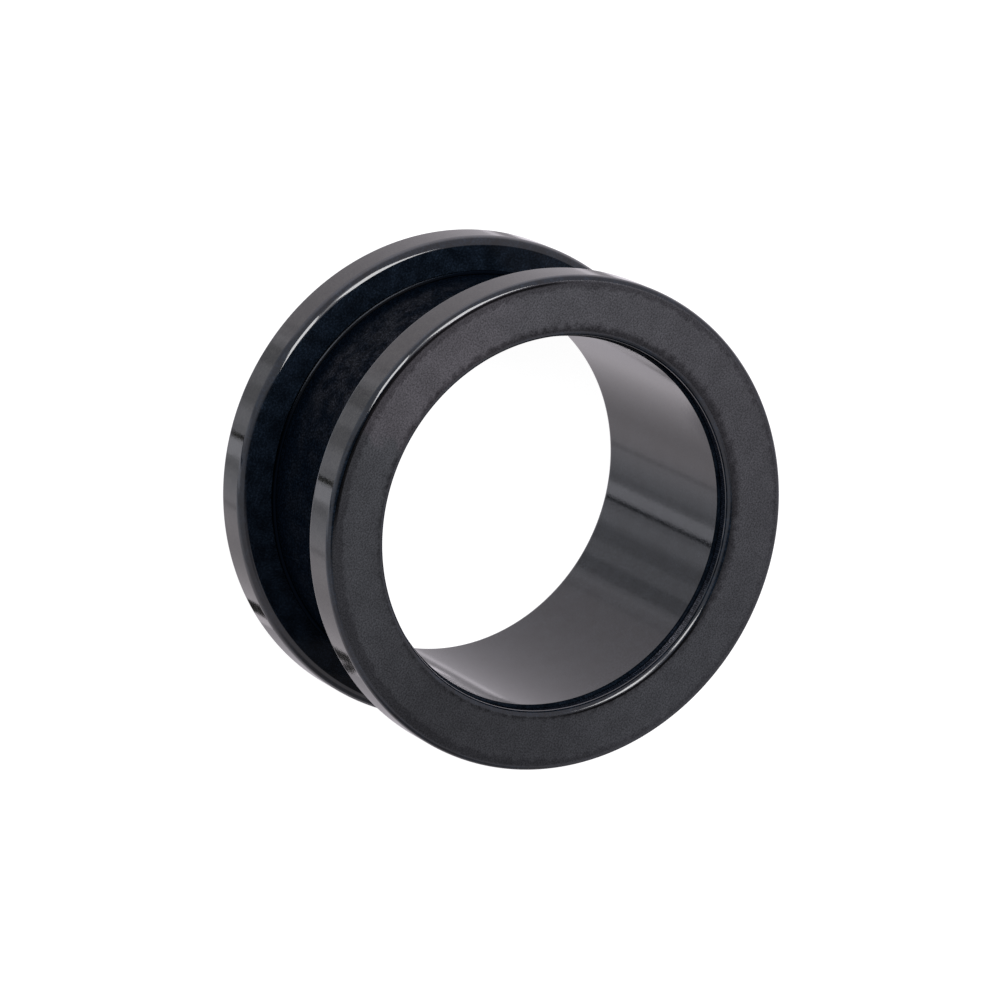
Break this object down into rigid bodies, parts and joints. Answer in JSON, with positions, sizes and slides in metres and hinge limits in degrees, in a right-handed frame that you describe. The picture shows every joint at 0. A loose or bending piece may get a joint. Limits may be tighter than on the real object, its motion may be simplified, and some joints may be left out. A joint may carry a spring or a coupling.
{
  "type": "ear tunnel",
  "caption": "Flanged tube worn in a stretched ear lobe, closed by a flange ring that screws onto its end.",
  "frame": {"origin": "Centre of the fixed flange's outer face, which lies on the surface.", "axes": "+Z runs along the bore from the fixed flange to the screw ring. +X and +Y are any two square directions across the bore, because the part is round."},
  "size_m": [0.0236, 0.0236, 0.012],
  "materials": {
    "barrel_steel": "black coated surgical steel, polished",
    "ring_steel": "black coated surgical steel, polished rim and satin face"
  },
  "bodies": {
    "barrel": {"flanged_barrel": "barrel_steel"},
    "ring": {"screw_ring": "ring_steel"}
  },
  "joints": [
    {"name": "ring_off", "type": "slide", "parent": "barrel", "child": "ring", "axis": [0, 0, 1], "range_m": [0, 0.012]}
  ]
}
